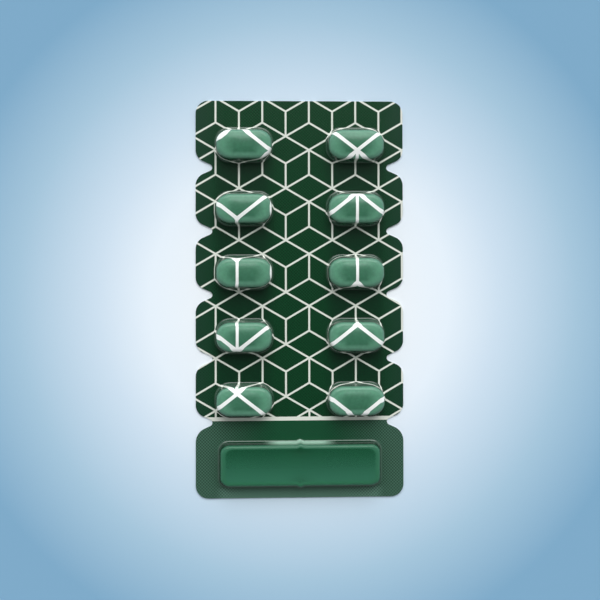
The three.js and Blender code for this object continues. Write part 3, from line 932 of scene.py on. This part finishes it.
# %% Foil finish
FOIL_COLOUR = seen(220, 221, 223)
FOIL_METAL = 0.9
FOIL_CLOUD_SCALE = 60
FOIL_ROUGHNESS = (0.3, 0.42)
FOIL_BUMP = 0.5
FOIL_BUMP_HEIGHT = 0.05 * MM

feed(tree, shader.inputs["Base Color"], FOIL_COLOUR)
feed(tree, shader.inputs["Metallic"], FOIL_METAL)
feed(tree, shader.inputs["Roughness"],
     ramp(tree, soft_noise(tree, FOIL_CLOUD_SCALE), *NOISE_SPREAD, *FOIL_ROUGHNESS))
add_bump(tree, shader, sealed_points, FOIL_BUMP, FOIL_BUMP_HEIGHT)
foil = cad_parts["lidding_foil"]
foil.data.materials.clear()
foil.data.materials.append(foil_finish)
print("foil finish", [material.name for material in foil.data.materials])

# %% [markdown]
# A coated pellet is smooth but not perfectly even: its colour has faint clouds, and its surface very
# low bumps.

# %% Pellet finish
COATING_DARK = seen(222, 234, 225)
COATING_LIGHT = seen(238, 244, 238)
COATING_CLOUD_SCALE = 500
COATING_ROUGHNESS = 0.42
COATING_BUMP = 0.2
COATING_BUMP_HEIGHT = 0.1 * MM

pellet_finish, tree, shader = new_material("pellet_coating")
clouds = soft_noise(tree, COATING_CLOUD_SCALE)
feed(tree, shader.inputs["Base Color"], colour_mix(tree, clouds, COATING_DARK, COATING_LIGHT))
feed(tree, shader.inputs["Roughness"], COATING_ROUGHNESS)
add_bump(tree, shader, clouds, COATING_BUMP, COATING_BUMP_HEIGHT)
for piece in pellets:
    piece.data.materials.append(pellet_finish)
print("pellets with a coating", len(pellets))

# %% [markdown]
# The pack lies on a pale floor whose colour holds a painted pool of light: pale around the pack, turning a
# soft blue further out. A colour ramp over the distance from the middle gives that.

# %% Floor
# A painted pool of light: pale in the middle, soft blue further out.
FLOOR_LIGHT_POOL_RINGS = ((26, seen(246, 251, 255)), (47, seen(234, 244, 253)), (63, seen(208, 226, 241)),
               (88, seen(167, 199, 220)), (112, seen(128, 171, 201)))  # radius in mm, and colour
FLOOR_REACH = 130  # millimetres, where the ramp ends
FLOOR_HALF_SIZE = 1.5  # metres
FLOOR_GAP = 0.02 * MM  # under the pack
FLOOR_ROUGHNESS = 0.9
FLOOR_SHINE = 0.1

floor_bm = bmesh.new()
bmesh.ops.create_grid(floor_bm, x_segments=1, y_segments=1, size=FLOOR_HALF_SIZE)
floor_mesh = bpy.data.meshes.new("floor")
floor_bm.to_mesh(floor_mesh)
floor_bm.free()
floor = bpy.data.objects.new("floor", floor_mesh)
floor.location.z = -FLOOR_GAP
bpy.context.scene.collection.objects.link(floor)
floor_finish, tree, shader = new_material("pale_floor")
distance = distance_of(tree, *x_and_y(tree, place_of(tree), 1 / MM))
floor_light_pool = tree.nodes.new("ShaderNodeValToRGB")
stops = floor_light_pool.color_ramp.elements
while len(stops) < len(FLOOR_LIGHT_POOL_RINGS):
    stops.new(1)
for stop, (radius, colour) in zip(stops, FLOOR_LIGHT_POOL_RINGS):
    stop.position = radius / FLOOR_REACH
    stop.color = (*colour, 1)
feed(tree, floor_light_pool.inputs["Fac"], reckon(tree, "DIVIDE", distance, FLOOR_REACH))
feed(tree, shader.inputs["Base Color"], floor_light_pool.outputs["Color"])
feed(tree, shader.inputs["Roughness"], FLOOR_ROUGHNESS)
feed(tree, shader.inputs["Specular IOR Level"], FLOOR_SHINE)
floor_mesh.materials.append(floor_finish)
print("floor colours", len(stops))

# %% [markdown]
# One wide, soft lamp shines from beyond the top end of the pack. It draws a light line along the
# upper edge of each pocket and leaves a soft shade on the near side. The room is darker overhead
# than at its sides, so that the flat film mirrors little of it and keeps its deep green, and its
# far side is brighter than its near side, as beside a window.

# %% Light
LAMP_HEIGHT_ANGLE = math.radians(45)
LAMP_TURN = math.radians(-4)
LAMP_WIDTH_ANGLE = math.radians(50)
LAMP_STRENGTH = 2.3
ROOM_COLOUR = (0.95, 0.98, 1)
ROOM_OVERHEAD = 0.04
ROOM_NEAR_SIDE = 0.8
ROOM_FAR_SIDE = 1.95
ROOM_CHANGE = (-0.6, 0.6)  # from the near side to the far side, along Y

world = bpy.data.worlds.new("soft_room")
world.use_nodes = True
tree = world.node_tree
direction = tree.nodes.new("ShaderNodeSeparateXYZ")
tree.links.new(tree.nodes.new("ShaderNodeTexCoord").outputs["Generated"], direction.inputs[0])
height = reckon(tree, "MAXIMUM", direction.outputs["Z"], 0)
sides = ramp(tree, direction.outputs["Y"], *ROOM_CHANGE, ROOM_NEAR_SIDE, ROOM_FAR_SIDE)
overhead = reckon(tree, "MULTIPLY", height, ROOM_OVERHEAD)
strength = reckon(tree, "MULTIPLY_ADD", reckon(tree, "SUBTRACT", 1, height), sides, overhead)
feed(tree, tree.nodes["Background"].inputs["Color"], ROOM_COLOUR)
feed(tree, tree.nodes["Background"].inputs["Strength"], strength)
bpy.context.scene.world = world

lamp_data = bpy.data.lights.new("window", "SUN")
lamp_data.angle = LAMP_WIDTH_ANGLE
lamp_data.energy = LAMP_STRENGTH
lamp = bpy.data.objects.new("window", lamp_data)
lamp.rotation_euler = (LAMP_HEIGHT_ANGLE - math.pi / 2, 0, LAMP_TURN)
bpy.context.scene.collection.objects.link(lamp)
bpy.context.scene.view_settings.view_transform = "Standard"
print("lamp", round(math.degrees(LAMP_HEIGHT_ANGLE)), "degrees above the floor")
